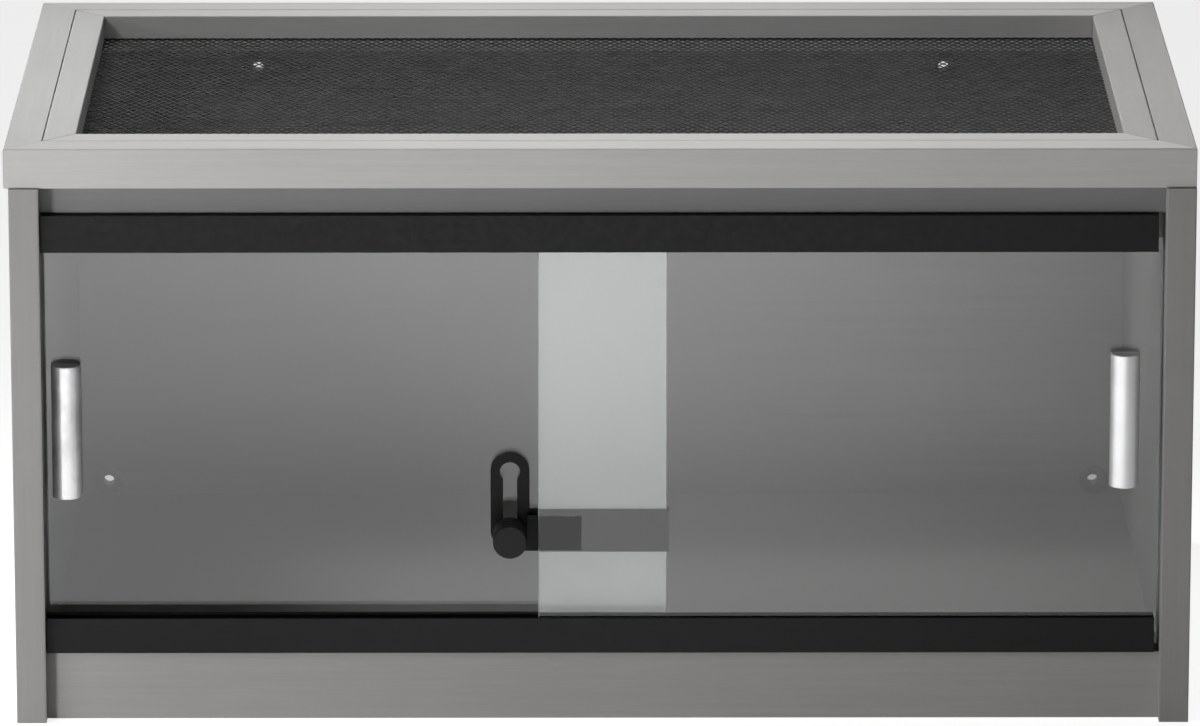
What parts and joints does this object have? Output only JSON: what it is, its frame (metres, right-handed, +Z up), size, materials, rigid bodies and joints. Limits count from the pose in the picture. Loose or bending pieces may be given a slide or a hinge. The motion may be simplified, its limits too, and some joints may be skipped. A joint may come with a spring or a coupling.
{
  "type": "reptile terrarium",
  "caption": "Rectangular reptile terrarium of grey boards with overlapping sliding glass doors, clear handles, a door lock and a lift-out mesh screen in a mitred lid.",
  "frame": {"origin": "middle of the footprint on the underside of the side panels; the footprint runs from the front of the lock knob to the back panel, and over the width of the lid", "axes": "+X to the viewer's right along the doors, +Y from the doors to the back, +Z up"},
  "size_m": [0.6, 0.358, 0.3],
  "materials": {
    "board": "warm grey melamine laminate with a fine straight grain, satin",
    "edging": "pale grey plastic edging, satin",
    "lid_frame": "warm grey wrapped moulding with a fine grain, satin",
    "track": "black extruded plastic, satin",
    "glass": "clear float glass with ground edges",
    "handle": "clear acrylic, polished",
    "adhesive_pad": "clear adhesive foam",
    "mesh": "black powder coat",
    "lock_metal": "black powder coat, satin",
    "grommet": "grey plastic, satin",
    "dowel": "bare fluted beech",
    "screw": "bright zinc plate"
  },
  "bodies": {
    "root": {"side_panel_left": "board", "side_panel_right": "board", "edging_left": "edging", "edging_right": "edging", "back_panel": "board", "floor_panel": "board", "plinth": "board", "top_stretcher": "board", "lid_rail_front": "lid_frame", "lid_rail_back": "lid_frame", "lid_rail_left": "lid_frame", "lid_rail_right": "lid_frame", "track_top": "track", "track_bottom": "track", "grommet_upper_left": "grommet", "grommet_upper_right": "grommet", "grommet_lower_left": "grommet", "grommet_lower_right": "grommet", "board_dowels": "dowel", "lid_dowels": "dowel", "back_screws": "screw"},
    "left_door": {"door_glass_left": "glass", "handle_left": "handle", "handle_pad_left": "adhesive_pad", "lock_hook_bar": "lock_metal"},
    "right_door": {"door_glass_right": "glass", "handle_right": "handle", "handle_pad_right": "adhesive_pad", "lock_plate": "lock_metal"},
    "screen": {"screen_rail_front": "lid_frame", "screen_rail_back": "lid_frame", "screen_rail_left": "lid_frame", "screen_rail_right": "lid_frame", "screen_mesh": "mesh"},
    "lock_stud": {"lock_stud": "lock_metal"},
    "lock_knob": {"lock_knob": "lock_metal"}
  },
  "joints": [
    {"name": "left_door_slide", "type": "slide", "parent": "root", "child": "left_door", "axis": [1, 0, 0], "range_m": [0, 0.206]},
    {"name": "right_door_slide", "type": "slide", "parent": "root", "child": "right_door", "axis": [1, 0, 0], "range_m": [-0.206, 0]},
    {"name": "screen_lift", "type": "slide", "parent": "root", "child": "screen", "axis": [0, 0, 1], "range_m": [0, 0.1]},
    {"name": "stud_slide", "type": "slide", "parent": "right_door", "child": "lock_stud", "axis": [0, 0, 1], "range_m": [0, 0.0308]},
    {"name": "knob_turn", "type": "hinge", "parent": "lock_stud", "child": "lock_knob", "pos_m": [-0.04585, -0.1703, 0.097], "axis": [0, 1, 0], "continuous": true}
  ]
}
